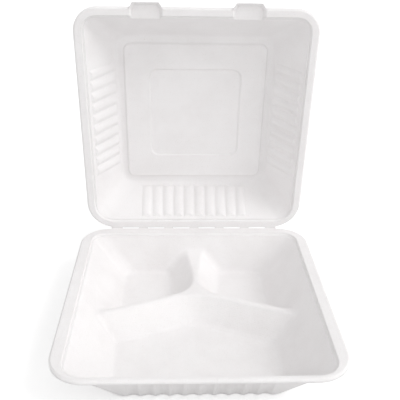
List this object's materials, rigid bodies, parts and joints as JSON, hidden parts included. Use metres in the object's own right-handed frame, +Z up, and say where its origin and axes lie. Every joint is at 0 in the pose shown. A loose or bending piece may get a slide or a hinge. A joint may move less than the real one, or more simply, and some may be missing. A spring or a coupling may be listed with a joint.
{
  "type": "compartment takeout container",
  "caption": "Hinged moulded-fibre takeaway box: square tray with divided compartments, a domed lid with a fluted wall, and lock tabs.",
  "frame": {"origin": "centre of the tray's flat foot, on the surface that it stands on", "axes": "+Z up, +X along the fold to the right as seen from the front, -Y towards the tray's open front, the fold at +Y"},
  "size_m": [0.228, 0.2609, 0.2701],
  "materials": {
    "tray_fibre": "matte moulded pulp, finely meshed",
    "lid_fibre": "matte moulded pulp, finely meshed"
  },
  "bodies": {
    "tray": {"tray": "tray_fibre"},
    "lid": {"lid": "lid_fibre"}
  },
  "joints": [
    {"name": "lid_hinge", "type": "hinge", "parent": "tray", "child": "lid", "pos_m": [0, 0.1125, 0.041], "axis": [-1, 0, 0], "range_deg": [-86, 94]}
  ]
}
